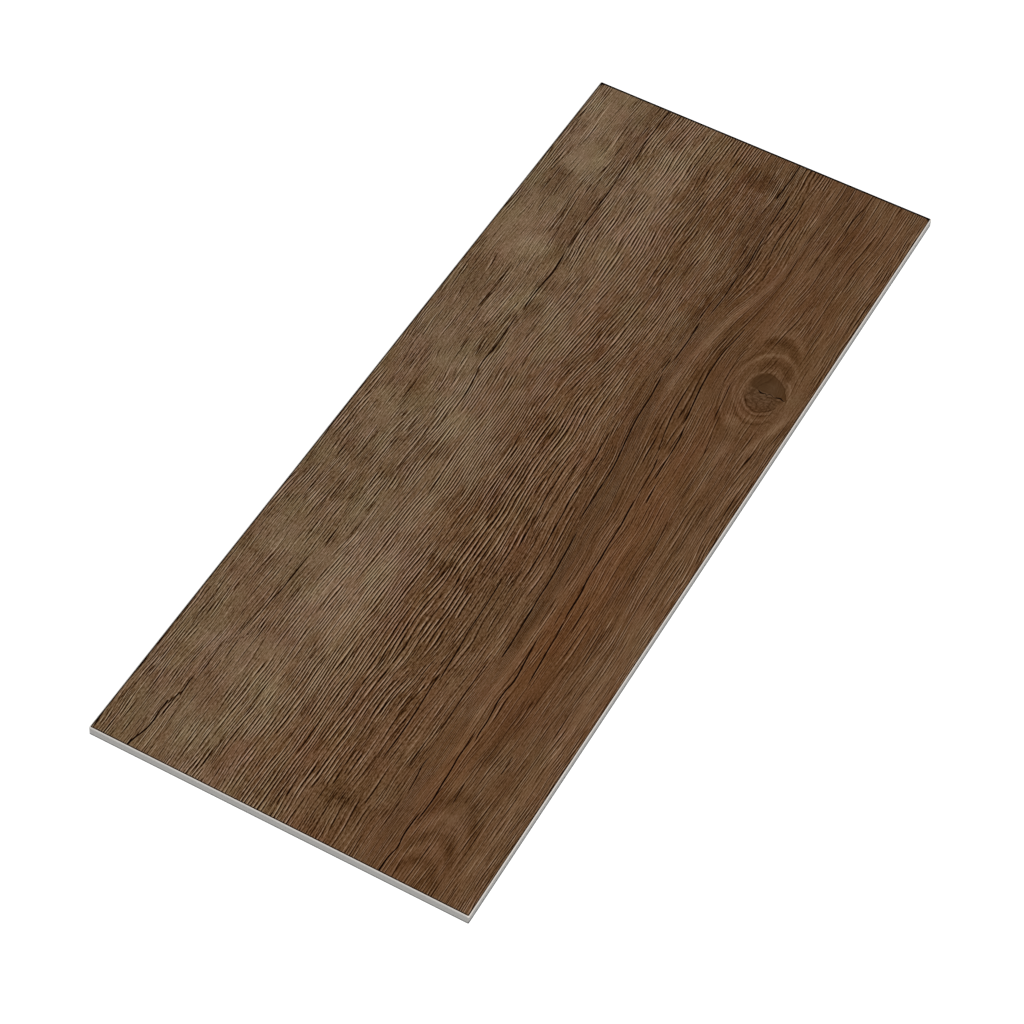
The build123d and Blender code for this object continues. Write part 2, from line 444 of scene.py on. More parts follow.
        (0.21, 0.65, [(104.9, 408), (103.5, 424)]),
        (0.23, 0.7, [(148.6, 145), (148.2, 156), (147.7, 167)]), (0.23, 0.75, [(150, 12), (150.2, 22)]),
        (0.23, 0.75, [(158.3, 66), (158.1, 77)]), (0.23, 0.75, [(148.1, 43), (147.5, 55)]),
        (0.24, 0.8, [(129.6, 38), (128.9, 47), (128, 54), (128.4, 60)]),
        (0.21, 0.6, [(129, 18), (129, 36)]), (0.23, 0.7, [(161.6, 132), (160.9, 145), (160.6, 158)]),
        (0.21, 0.65, [(155.6, 236), (155.4, 252)]),
        (0.21, 0.65, [(156.2, 224), (157.6, 212), (158.8, 196)]),
        (0.23, 0.7, [(147.4, 286), (145.6, 300), (144, 312)]),
        (0.21, 0.6, [(152.8, 264), (150.4, 280)]),
        (0.23, 0.7, [(134.4, 255), (131, 272), (129.4, 284), (128.4, 298)]),
        (0.21, 0.6, [(168.6, 92), (168, 112)]), (0.21, 0.6, [(135, 140), (134.2, 160)]),
        (0.2, 0.6, [(141.2, 308), (140.4, 320), (140.9, 332), (142.8, 340)]),
    ],
}


def smoothPath(path, along):  # x of a line at each y, through its points with no corners
    x, y = np.array(sorted(path, key=lambda point: point[1]), float).T
    slope = np.gradient(x, y)
    spot = np.clip(along, y[0], y[-1])
    k = np.clip(np.searchsorted(y, spot) - 1, 0, len(y) - 2)
    step = y[k + 1] - y[k]
    t = (spot - y[k]) / step
    return ((1 + 2 * t) * (1 - t) ** 2 * x[k] + t * (1 - t) ** 2 * step * slope[k]
            + t * t * (3 - 2 * t) * x[k + 1] + t * t * (t - 1) * step * slope[k + 1])


def pathEnds(path):
    ends = sorted(point[1] for point in path)
    return ends[0], ends[-1]


def smoothStep(value, low, high):
    t = np.clip((value - low) / (high - low), 0, 1)
    return t * t * (3 - 2 * t)


def cloud(x, y, cellX, cellY, seed):  # soft random values from -1 to 1
    columns, rows = x / cellX, y / cellY
    column, row = np.floor(columns).astype(int), np.floor(rows).astype(int)
    lattice = np.random.default_rng(seed).uniform(-1, 1, (np.ptp(column) + 2, np.ptp(row) + 2))
    fx, fy = columns - column, rows - row
    fx, fy = fx * fx * (3 - 2 * fx), fy * fy * (3 - 2 * fy)
    column, row = column - column.min(), row - row.min()
    near = lattice[column, row] * (1 - fx) + lattice[column + 1, row] * fx
    far = lattice[column, row + 1] * (1 - fx) + lattice[column + 1, row + 1] * fx
    return near * (1 - fy) + far * fy


def clouded(name, x, y):  # the layers of clouds that the figure gives under this name
    first, layers = woodFigure["clouds"][name]
    first += woodFigure["seed"]
    return sum(amount * cloud(x, y, cellX, cellY, first + number)
               for number, (amount, cellX, cellY) in enumerate(layers))


def profile(name, x):  # a value that changes from the left edge to the right one
    return np.interp(x, *zip(*woodFigure[name]))


def spotGap(x, y, spot):  # squared distance from a spot's centre, 1 on its ellipse
    spotX, spotY, halfWidth, halfLength = spot[:4]
    return ((x - spotX) / halfWidth) ** 2 + ((y - spotY) / halfLength) ** 2


def knotPatch(x, y, halfWidth, halfLength):  # 1 on the knot's heart and 0 beyond it
    spotX, spotY = woodFigure["knot"]["patchAt"]
    return np.exp(-((x - spotX) / halfWidth) ** 4 - ((y - spotY) / halfLength) ** 4)


def acrossGrain(x, y):  # place across the grain, the same all along a fibre
    lines = [(value, smoothPath(path, y)) for value, path in woodFigure["guides"]]
    flow = np.zeros_like(x)
    for (lowValue, low), (highValue, high) in zip(lines, lines[1:]):
        flow += np.clip((x - low) / (high - low), 0, 1) * (highValue - lowValue)
    knot = woodFigure["knot"]
    knotX, knotY = knot["at"]
    away = np.maximum((x - knotX) ** 2 + ((y - knotY) / knot["stretch"]) ** 2, knot["radius"] ** 2)
    centre = flow[np.argmin((x - knotX) ** 2 + (y - knotY) ** 2)]
    flow -= smoothStep(x, *knot["pull"]) * (flow - centre) * knot["radius"] ** 2 / away
    return flow + clouded("sway", x, y)


def printTone(x, y, flow):
    tone = profile("tone", x)
    bentX, bentY = x + clouded("blotX", x, y), y + clouded("blotY", x, y)
    edges = clouded("blotEdges", x, y)  # mottled along the grain
    for spot in woodFigure["blots"]:
        inside = smoothStep(spotGap(bentX, bentY, spot) + edges, 2.1, 0.55)
        tone += woodFigure["blotStrength"] * spot[4] * inside
    patchy = 0.75 + clouded("streakPatches", x, y)
    bend = clouded("streakBend", x, y)
    for halfWidth, amount, path in woodFigure["streaks"]:
        low, high = pathEnds(path)
        inside = smoothStep(y, low - 8, low + 14) * smoothStep(-y, -high - 8, 14 - high)
        away = (x - smoothPath(path, y) + bend) / halfWidth
        tone += woodFigure["streakStrength"] * amount * inside * patchy * np.exp(-away ** 2)
    bend = clouded("archBend", x, y)
    for midX, midY, halfWide, halfHigh, start, end, width, amount in woodFigure["arches"]:
        acrossX, acrossY = (x - midX) / halfWide, (y - midY) / halfHigh
        angle = np.arctan2(acrossY, acrossX)
        turned = np.mod(np.degrees(angle) - start, 360)
        inside = smoothStep(turned, 0, 25) * smoothStep(start - end + turned, 0, -25)
        radius = halfWide * halfHigh / np.hypot(halfHigh * np.cos(angle), halfWide * np.sin(angle))
        away = ((np.hypot(acrossX, acrossY) - 1) * radius + bend) / width
        tone += woodFigure["archStrength"] * amount * inside * np.exp(-away ** 2)
    worn = 1 - smoothStep(x, *woodFigure["wornTo"])
    bands = np.tanh(clouded("narrowBands", flow, y)) + 0.8 * np.tanh(clouded("wideBands", flow, y))
    plain = woodFigure["bandStrength"] * bands + clouded("plainPatches", x, y)
    return tone + worn * clouded("wornPatches", x, y) + (1 - worn) * plain


def printWarmth(x, y, tone):  # 0 is taupe, 1 brown and 2 rust
    warm = profile("warmth", x) + clouded("warmPatches", x, y) * profile("warmPatchiness", x)
    for spot in woodFigure["rust"]:
        warm += woodFigure["rustStrength"] * np.exp(-spotGap(x, y, spot))
    warm -= 0.5 * knotPatch(x, y, 8, 11)  # the knot is greyer
    change = tone - profile("tone", x)
    return warm - 0.4 * change * smoothStep(x, 110, 70)  # worn places are grey, dark ones brown


def printBlush(x, y):  # 0 is greener, 1 pinker
    blush = clouded("blush", x, y) * profile("blushPatchiness", x) + 0.4 * knotPatch(x, y, 9, 12)
    return np.clip(0.5 + blush, 0, 1)


def roughness(x, y):  # 1 on grained wood, low where the face is smooth
    bentX, bentY = x + clouded("smoothX", x, y), y + clouded("smoothY", x, y)
    rough = np.ones_like(x)
    for spot in woodFigure["smooth"]:
        rough *= 1 - 0.8 * np.exp(-0.7 * spotGap(bentX, bentY, spot) ** 2)
    return rough


def lineStrength(x, y):  # how deep the fine lines go from place to place
    strength = profile("lines", x) * roughness(x, y)
    strength *= 0.2 + 1.25 * smoothStep(clouded("linePatches", x, y), -0.3, 0.35)
    for spot in woodFigure["depths"]:
        strength *= 1 + spot[4] * np.exp(-spotGap(x, y, spot))
    knot = woodFigure["knot"]
    knotX, knotY = knot["at"]
    reach = np.hypot(x - knotX, (y - knotY) / knot["stretch"]) / knot["radius"]
    plain = 0.08 + 0.35 * smoothStep(knotY - y, -1, 4)
    return strength * (1 - smoothStep(reach, 1.15, 0.9) * (1 - plain))


def poreStrength(x, y):
    strength = profile("pores", x) * (1 + clouded("porePatches", x, y))
    knotX, knotY = woodFigure["knot"]["at"]
    strength *= 0.35 + 0.65 * smoothStep(np.hypot((x - knotX) / 24, (y - knotY) / 42), 0.55, 1.25)
    return strength * (0.5 + 0.5 * roughness(x, y))


def lineTurns(flow):  # how many fine lines lie to the left
    edge, gaps = np.array(woodFigure["lineGaps"]).T
    fine = np.linspace(-20, 220, 2401)
    step = fine[1] - fine[0]
    count = np.concatenate([[0], np.cumsum(step / np.interp(fine, edge, gaps))[:-1]])
    return np.interp(flow, fine, count)


# The printed top layer: a fine sheet of triangles whose columns run along the cracks

printedFace = {
    "cornerRadius": 0.5,  # in millimetres, as in the construction
    "bevel": 0.3,
    "rimShift": (0.15, 0.62, 0.48, -0.55),  # left, right, near, far: the print is a little off centre
    "columns": 488,
    "rows": 188,
    "nearRows": (0.2, 0.62),  # a share of the rows is closer at the near end, where a crack is crooked
    "lineDepth": 0.05,
    "crackDepth": 0.20,
}


def sheetLines(low, high, radius, count, near=(0.2, 1.0)):  # a few in the corner, then evenly
    corner = np.array([0.0, radius / 3, radius * 2 / 3])
    share = np.interp(np.linspace(0, 1, count + 1), [0, near[0], 1], [0, near[0] * near[1], 1])
    middle = low + radius + (high - low - 2 * radius) * share
    return np.concatenate([low + corner, middle, high - corner[::-1]])


# cracks pull the nearest column onto themselves, row by row
def crackedGrid(columns, rows, origin, figureScale):
    x, y = np.meshgrid(columns, rows)
    falling = (np.add.outer(np.arange(len(rows)), np.arange(len(columns))) % 2).astype(bool)
    figureRows = (rows - origin[1]) * figureScale[1]
    for halfWidth, darkness, path in woodFigure["cracks"]:
        low, high = pathEnds(path)
        inside = np.flatnonzero((figureRows >= low) & (figureRows <= high))
        place = smoothPath(path, figureRows[inside]) / figureScale[0] + origin[0]
        nearest = np.abs(columns[None, :] - place[:, None]).argmin(axis=1)
        nearest = np.clip(nearest, 5, len(columns) - 6)
        x[inside, nearest] = place
        for row, first, second in zip(inside, nearest, nearest[1:]):
            if second != first:
                falling[row, min(first, second)] = second < first
    return x, y, falling


def roundCorners(x, y, low, high, radius):  # the square corners of the grid become round ones
    innerX = np.clip(x, low[0] + radius, high[0] - radius)
    innerY = np.clip(y, low[1] + radius, high[1] - radius)
    a, b = (x - innerX) / radius, (y - innerY) / radius
    roundX = np.where(a * b != 0, innerX + radius * a * np.sqrt(1 - b * b / 2), x)
    roundY = np.where(a * b != 0, innerY + radius * b * np.sqrt(1 - a * a / 2), y)
    return roundX, roundY


def printedSheet():
    radius, bevel = printedFace["cornerRadius"], printedFace["bevel"]
    low = np.array([topLow.x, topLow.y]) / mm + bevel
    high = np.array([topHigh.x, topHigh.y]) / mm - bevel
    columns = sheetLines(low[0], high[0], radius, printedFace["columns"])
    rows = sheetLines(low[1], high[1], radius, printedFace["rows"], printedFace["nearRows"])
    origin = low - bevel
    figureScale = np.array(woodFigure["size"]) / (high - low + 2 * bevel)
    x, y, falling = crackedGrid(columns, rows, origin, figureScale)
    x, y = roundCorners(x, y, low, high, radius)

    index = np.arange(x.size).reshape(x.shape)
    loop = np.concatenate([index[0, :-1], index[:-1, -1], index[-1, :0:-1], index[:0:-1, 0]])
    faceX, faceY = x.ravel(), y.ravel()
    rimX, rimY = faceX[loop], faceY[loop]
    outX = np.sign(rimX - np.clip(rimX, low[0] + radius, high[0] - radius))
    outY = np.sign(rimY - np.clip(rimY, low[1] + radius, high[1] - radius))
    allX = np.concatenate([faceX, rimX + bevel * outX])
    allY = np.concatenate([faceY, rimY + bevel * outY])
    allZ = np.concatenate([np.full(faceX.size, topHigh.z), np.full(rimX.size, topLow.z)])

    # two triangles a cell, the rim's sloping squares, and the hidden underside
    c0, c1, c2, c3 = index[:-1, :-1], index[:-1, 1:], index[1:, 1:], index[1:, :-1]
    down = falling[:-1, :-1, None]
    firstHalf = np.where(down, np.stack([c0, c1, c3], -1), np.stack([c0, c1, c2], -1)).reshape(-1, 3)
    secondHalf = np.where(down, np.stack([c1, c2, c3], -1), np.stack([c0, c2, c3], -1)).reshape(-1, 3)
    outer = faceX.size + np.arange(len(loop))
    sides = np.stack([loop, outer, np.roll(outer, -1), np.roll(loop, -1)], -1)
    faces = firstHalf.tolist() + secondHalf.tolist() + sides.tolist() + [outer[::-1].tolist()]
    mesh = bpy.data.meshes.new("printedTopLayer")
    mesh.from_pydata(np.stack([allX * mm, allY * mm, allZ], -1).tolist(), [], faces)
    smooth = np.zeros(len(faces), bool)
    smooth[:len(firstHalf) + len(secondHalf)] = True
    mesh.polygons.foreach_set("use_smooth", smooth)

    gaps = [faceX - low[0], high[0] - faceX, faceY - low[1], high[1] - faceY]
    inset = np.minimum.reduce([gap + shift for gap, shift in zip(gaps, printedFace["rimShift"])])
    inset = np.concatenate([inset, np.full(len(loop), -bevel)])
    return mesh, (allX - origin[0]) * figureScale[0], (allY - origin[1]) * figureScale[1], inset


def crackField(x, y):  # gap to the nearest crack, its half width, its darkness, and the side of it
    gap, width, depth, side = np.full(x.size, 9.0), np.zeros(x.size), np.zeros(x.size), np.zeros(x.size)
    length = woodFigure["size"][1]
    for halfWidth, darkness, path in woodFigure["cracks"]:
        low, high = pathEnds(path)
        near = np.flatnonzero((y > low - 1) & (y < high + 1))
        taper = np.minimum(y[near] - low + 1, high + 1 - y[near])
        runsOut = (low <= 0) & (y[near] < 30) | (high >= length) & (y[near] > length - 30)
        taper = smoothStep(np.where(runsOut, 9, taper), 0, min(6.0, 0.3 * (high - low)))
        sideways = x[near] - smoothPath(path, y[near])
        closer = np.abs(sideways) < np.minimum(gap[near], 1.6)
        near, sideways, taper = near[closer], sideways[closer], taper[closer]
        gap[near] = np.abs(sideways)
        side[near] = np.sign(sideways) * taper
        uneven = 1.1 + 0.22 * cloud(x[near], y[near], 30, 12, 40 + len(path))
        width[near] = halfWidth * (0.35 + 0.65 * taper) * uneven
        depth[near] = darkness * (0.3 + 0.7 * taper)
    return gap, width, depth, side


def store(mesh, name, *columns):  # one value or one vector at each point of the mesh
    kind, field = ("FLOAT", "value") if len(columns) == 1 else ("FLOAT_VECTOR", "vector")
    layer = mesh.attributes.new(name, kind, "POINT")
    layer.data.foreach_set(field, np.stack(columns, -1).astype(np.float32).ravel())


def storeFigure(mesh, x, y, inset):
    flow = acrossGrain(x, y)
    tone = printTone(x, y, flow)
    gap, width, depth, side = crackField(x, y)
    store(mesh, "grainFlow", flow, y, lineStrength(x, y))
    store(mesh, "lineTurns", lineTurns(flow))
    store(mesh, "poreStrength", poreStrength(x, y))
    store(mesh, "blush", printBlush(x, y))
    store(mesh, "woodTone", tone, printWarmth(x, y, tone), inset)
    store(mesh, "woodSplit", gap, width, depth)
    store(mesh, "splitSide", side)


def flatPrintMap(mesh):  # the whole face over one square, the hidden underside in a strip below it
    corners = np.zeros(len(mesh.loops), np.int32)
    mesh.loops.foreach_get("vertex_index", corners)
    places = np.zeros(len(mesh.vertices) * 3, np.float32)
    mesh.vertices.foreach_get("co", places)
    places = places.reshape(-1, 3)[corners]
    across = (places[:, 0] - topLow.x) / (topHigh.x - topLow.x)
    along = (places[:, 1] - topLow.y) / (topHigh.y - topLow.y)
    hidden = np.zeros(len(corners), bool)
    hidden[mesh.polygons[len(mesh.polygons) - 1].loop_start:] = True
    height = np.where(hidden, 0.002 + 0.012 * along, 0.02 + 0.978 * along)
    places = np.stack([0.001 + 0.998 * across, height], -1)
    layer = mesh.uv_layers.new(name="OFBake")
    layer.data.foreach_set("uv", places.astype(np.float32).ravel())


# The lines that the print and its relief share, so that both fall on the same places
# Cells are in millimetres across and along the grain

combLines = {
    "driftCell": (5.0, 34.0), "drift": 1.4,  # how far a line wanders, in line gaps
    "ridgeHighlight": (2.1, 6.0), "ridgeHighlightHeight": 0.5,  # turned by, sharpness; the ridge is a painted highlight beside each furrow
    "furrow": (0.0, 7.5),
    "breakCell": (2.6, 13.0), "breakDepths": (0.2, 2.6),
    "dashCell": (1.5, 7.0), "dashDepths": (0.5, 1.2),
    "depth": 1.15,
}
hairLook = {
    "driftCell": (7.0, 60.0), "drift": 3.0, "number": 0.85,  # lines for each line of the comb
    # the lip is a painted highlight beside each hair line: turned by, sharpness, then its height
    "lipHighlight": (1.7, 6.0), "lipHighlightHeight": 0.55,
    "furrow": (0.0, 9.0),
    "breakCell": (1.7, 26.0),
    "fewer": (40.0, 64.0, 0.11, 0.0),  # they are rare on the left
    "depth": 1.4,
}
poreLook = {
    "cell": (0.5, 11.0),
    "beside": 0.4,
    "swayCell": (2.0, 5.0), "sway": 0.4,
}


def pulses(angle, shift, sharpness):  # narrow bumps, one to each turn
    wave = maths("SINE", plus(angle, shift))
    return maths("POWER", times(plus(wave, 1.0), 0.5), sharpness)


def fineLines(flow, turns, strength):  # above 0 on the ridges, a painted highlight in the print, down to about -1 in the furrows
    drift = times(noise(flow, combLines["driftCell"]), combLines["drift"])
    angle = times(plus(turns, drift), 2 * math.pi)
    # painted highlight: a light ridge beside each dark furrow
    ridgeHighlight = times(pulses(angle, *combLines["ridgeHighlight"]), combLines["ridgeHighlightHeight"])
    comb = minus(ridgeHighlight, pulses(angle, *combLines["furrow"]))
    breaks = noise(flow, combLines["breakCell"], detail=2.0)
    breaks = ramped(breaks, 0.38, 0.64, *combLines["breakDepths"])
    dashes = noise(moved(flow, (9, 30, 0)), combLines["dashCell"])
    dashes = ramped(dashes, 0.34, 0.6, *combLines["dashDepths"])
    deep = times(times(breaks, dashes), times(strength, combLines["depth"]))
    return times(comb, maths("TANH", deep))


def hairLines(flow, across, turns, strength):  # long thin lines well apart, each with a light lip that is a painted highlight
    drift = noise(moved(flow, (40, 70, 0)), hairLook["driftCell"])
    angle = plus(times(turns, hairLook["number"]), times(drift, hairLook["drift"]))
    angle = times(angle, 2 * math.pi)
    # painted highlight: the light lip beside each dark hair line
    lipHighlight = times(pulses(angle, *hairLook["lipHighlight"]), hairLook["lipHighlightHeight"])
    pair = minus(lipHighlight, pulses(angle, *hairLook["furrow"]))
    fewer = ramped(across, *hairLook["fewer"])
    breaks = ramped(minus(noise(flow, hairLook["breakCell"]), fewer), 0.42, 0.64)
    deep = times(breaks, times(strength, hairLook["depth"]))
    return times(pair, maths("TANH", deep))


def poreLines(flow):  # thin short lines: what stands out from its neighbours across the grain
    sway = minus(noise(flow, poreLook["swayCell"]), 0.5)
    bend = addNode(treeOf(flow), "ShaderNodeCombineXYZ")
    feed(bend.inputs[0], times(sway, poreLook["sway"]))
    bent = moved(flow, bend.outputs[0])

    def at(place):
        return noise(moved(bent, (place, 0, 0)), poreLook["cell"], detail=0.0)
    sides = times(plus(at(-poreLook["beside"]), at(poreLook["beside"])), 0.5)
    return minus(at(0.0), sides)


def crackMask(split, reach=1.35):  # split holds the gap to a crack, its half width and its darkness
    gap, width, depth = partsOf(split)
    inside = ramped(gap, times(width, reach), times(width, 0.7))
    return times(inside, depth)


def named(tree, name, kind="FLOAT"):  # an attribute of the piece, in a tree of either sort
    if tree.bl_idname == "GeometryNodeTree":
        node = addNode(tree, "GeometryNodeInputNamedAttribute", data_type=kind)
        node.inputs["Name"].default_value = name
        return node.outputs["Attribute"]
    node = addNode(tree, "ShaderNodeAttribute", attribute_name=name)
    return node.outputs["Fac" if kind == "FLOAT" else "Vector"]


def embossTree():
    tree = bpy.data.node_groups.new("grainEmboss", "GeometryNodeTree")
    for name, kind in (("Geometry", "Geometry"), ("Line Depth", "Float"), ("Crack Depth", "Float"),
                       ("Material", "Material")):
        tree.interface.new_socket(name, in_out="INPUT", socket_type="NodeSocket" + kind)
    tree.interface.new_socket("Geometry", in_out="OUTPUT", socket_type="NodeSocketGeometry")
    ins = addNode(tree, "NodeGroupInput").outputs
    flow = named(tree, "grainFlow", "FLOAT_VECTOR")
    lines = fineLines(flow, named(tree, "lineTurns"), partsOf(flow)[2])
    lines = times(ramped(lines, 0.3, -0.8), ins["Line Depth"])
    cracks = times(crackMask(named(tree, "woodSplit", "FLOAT_VECTOR"), 1.5), ins["Crack Depth"])
    inset = partsOf(named(tree, "woodTone", "FLOAT_VECTOR"))[2]
    fade = times(ramped(inset, 0.0, 0.9), -mm)  # no relief at the rim
    offset = addNode(tree, "ShaderNodeCombineXYZ")
    feed(offset.inputs[2], times(maths("MAXIMUM", lines, cracks), fade))
    move = addNode(tree, "GeometryNodeSetPosition")
    feed(move.inputs["Geometry"], ins["Geometry"])
    feed(move.inputs["Offset"], offset.outputs[0])
    whole = addNode(tree, "GeometryNodeRealizeInstances")
    feed(whole.inputs[0], move.outputs[0])
    dress = addNode(tree, "GeometryNodeSetMaterial")
    feed(dress.inputs["Geometry"], whole.outputs[0])
    feed(dress.inputs["Material"], ins["Material"])
    feed(addNode(tree, "NodeGroupOutput").inputs[0], dress.outputs[0])
    return tree


# The print's material

printLook = {
    "lineContrast": 2.2,
    "poreContrast": 0.8, "poreLift": 0.035,
    "darkPores": 0.42, "darkPoreCell": (2.5, 12.0),
    "gritCell": (0.5, 1.6), "hairContrast": 1.25,
    # from and to across the grain, and the strength at each
    "grit": (100.0, 135.0, 1.1, 0.65),
    "hairsLeft": (30.0, 56.0, 1.4, 0.4), "hairsRight": (96.0, 120.0, 0.0, 1.7),
    "mottleCell": (3.0, 7.0), "mottle": 0.07,
    "crackContrast": 1.4, "lipHighlight": 0.22,  # a crack's painted highlight, a light lip stronger on its right
    "rim": (8, 3, 1), "rimInset": (0.75, 0.25),
    "green": (0.99, 1.05, 0.97, 1.0), "pink": (1.01, 0.96, 1.01, 1.0),
    "levels": (0.0, 0.125, 0.25, 0.375, 0.5, 0.75, 1.0),  # of the colours below, from dark to light
    "taupe": [(10, 2, 0), (38, 17, 3), (60, 38, 17), (87, 65, 42), (111, 90, 66), (148, 127, 102),
              (186, 165, 140)],
    "brown": [(9, 2, 0), (36, 14, 2), (54, 29, 9), (80, 51, 26), (103, 70, 44), (138, 105, 79),
              (174, 142, 116)],
    "rust": [(9, 2, 0), (38, 13, 2), (57, 27, 8), (85, 50, 25), (110, 70, 41), (145, 105, 75),
             (180, 142, 112)],
    "roughness": (0.70, 0.58),
    "gloss": 0.015,  # a matt wear layer
    "bump": (0.25, 0.03),  # strength, and depth in millimetres
}


def fromCentre(vector, centre, halves):  # in half sizes, so that 1 is on the ellipse
    return scaled(moved(vector, (-centre[0], -centre[1], 0)), (1 / halves[0], 1 / halves[1], 0))


def lengthOf(vector):
    node = addNode(treeOf(vector), "ShaderNodeVectorMath", operation="LENGTH")
    feed(node.inputs[0], vector)
    return node.outputs["Value"]


def knotDome(bent):  # the plain upper half of the knot's heart: its mask, its tone, and where it is
    knot = woodFigure["knot"]
    across, up = partsOf(fromCentre(bent, knot["domeAt"], (1, 1)))[:2]
    leaning = plus(across, times(up, knot["lean"]))
    wide = maths("POWER", maths("DIVIDE", leaning, knot["dome"][0]), 2.0)
    high = maths("POWER", maths("DIVIDE", up, knot["dome"][1]), 2.0)
    reach = maths("SQRT", plus(wide, high))
    upper = ramped(up, -1.2, 1.0)
    soft = ramped(across, -9.0, -3.0, 0.80, 0.96)  # the left edge is the softer one
    dome = times(ramped(reach, 1.04, soft), upper)
    edge = ramped(maths("ABSOLUTE", minus(reach, 0.97)), 0.05, 0.0)
    edge = times(edge, ramped(across, -6.0, 2.0, 0.03, 0.17))
    tone = minus(ramped(across, -3.4, 1.0, *knot["domeTones"]), edge)
    shade = minus(noise(bent, knot["shadeCell"], detail=2.0), 0.5)
    return dome, plus(tone, times(shade, knot["shade"])), upper


def knotCrack(place):
    knot = woodFigure["knot"]
    x, y = partsOf(fromCentre(place, knot["crackFrom"], knot["crackSpan"]))[:2]

    def drawn(column):  # a value along the crack, through given points
        node = addNode(treeOf(x), "ShaderNodeFloatCurve")
        points = node.mapping.curves[0].points
        while len(points) < len(knot["crack"]):
            points.new(0.5, 0.5)
        for point, stop in zip(points, knot["crack"]):
            point.location = (stop[0], stop[column])
        node.mapping.update()
        feed(node.inputs["Value"], x)
        return node.outputs[0]
    away = maths("ABSOLUTE", minus(y, drawn(1)))
    crack = ramped(away, drawn(2), times(drawn(2), 0.4))
    ends = times(ramped(x, 0.0, 0.05), ramped(x, 1.0, 0.95))
    return times(crack, ends)


def knotRings(bent):
    rings = 0.0
    for centre, halves, angles, width, amount in woodFigure["knot"]["rings"]:
        around = fromCentre(bent, centre, halves)
        radius = lengthOf(around)
        share = width * 2 / (halves[0] + halves[1])
        band = ramped(maths("ABSOLUTE", minus(radius, 1.0)), share * 1.7, 0.0)
        middle, span = math.radians(sum(angles) / 2), math.radians(angles[1] - angles[0]) / 2
        facing = addNode(treeOf(around), "ShaderNodeVectorMath", operation="DOT_PRODUCT")
        feed(facing.inputs[0], around)
        facing.inputs[1].default_value = (math.cos(middle), math.sin(middle), 0)
        turned = maths("DIVIDE", facing.outputs["Value"], radius)
        inside = ramped(turned, math.cos(span), math.cos(span * 0.6))
        rings = plus(rings, times(times(band, inside), amount))
    return rings


def knotHeart(tree):  # a plain upper half, a wrinkled lower one, a crack between them and rings
    knot = woodFigure["knot"]
    perX, perY = (size / span for size, span in zip(woodFigure["size"], (topHigh - topLow)[:2]))
    place = scaled(addNode(tree, "ShaderNodeTexCoord").outputs["Object"], (perX, perY, 0))
    place = moved(place, (-topLow.x * perX, -topLow.y * perY, 0))
    wobble = moved(noise(place, knot["wobbleCell"], detail=2.0, colour=True), (-0.5, -0.5, 0))
    bent = moved(place, scaled(wobble, knot["wobble"]))
    dome, domeTone, upper = knotDome(bent)
    below = lengthOf(fromCentre(bent, knot["baseAt"], knot["base"]))
    base = times(ramped(below, 1.12, 0.80, 0.0, 0.85), minus(1.0, upper))
    wrinkles = minus(noise(bent, knot["wrinkleCell"]), 0.5)
    baseTone = plus(times(wrinkles, knot["wrinkles"]), knot["baseTone"])
    heart = maths("MAXIMUM", dome, base)
    heartTone = plus(baseTone, times(upper, minus(domeTone, baseTone)))
    return heart, heartTone, knotCrack(place), knotRings(bent)


def printGrain(flow, across, turns, lines, pores):  # all the fine lines and specks
    strength = named(treeOf(flow), "poreStrength")
    sparse = ramped(noise(flow, printLook["darkPoreCell"]), 0.42, 0.64, 0.1, 1.3)
    dark = times(ramped(pores, -0.08, -0.26), sparse)
    speck = times(pores, printLook["poreContrast"])
    speck = minus(speck, times(dark, printLook["darkPores"]))
    speck = times(plus(speck, printLook["poreLift"]), strength)
    grit = minus(noise(flow, printLook["gritCell"], roughness=0.7), 0.5)
    speck = plus(speck, times(grit, ramped(across, *printLook["grit"])))
    sides = ramped(across, *printLook["hairsLeft"])
    sides = plus(sides, ramped(across, *printLook["hairsRight"]))
    hairs = hairLines(flow, across, turns, times(sides, strength))
    swing = plus(times(lines, printLook["lineContrast"]), speck)
    return plus(swing, times(hairs, printLook["hairContrast"]))


def printColour(total, warm):  # by lightness, and by warmth from taupe through brown to rust
    level = ramped(total, -0.5, 1.5, kind="LINEAR")
    taupe, brown, rust = (colourRamp(level, list(zip(printLook["levels"], printLook[name])))
                          for name in ("taupe", "brown", "rust"))
    colour = blended(ramped(warm, 0.0, 1.0, kind="LINEAR"), taupe, brown)
    colour = blended(ramped(warm, 1.0, 2.0, kind="LINEAR"), colour, rust)
    tint = blended(named(treeOf(total), "blush"), printLook["green"], printLook["pink"])
    return blended(1.0, colour, tint, "MULTIPLY")


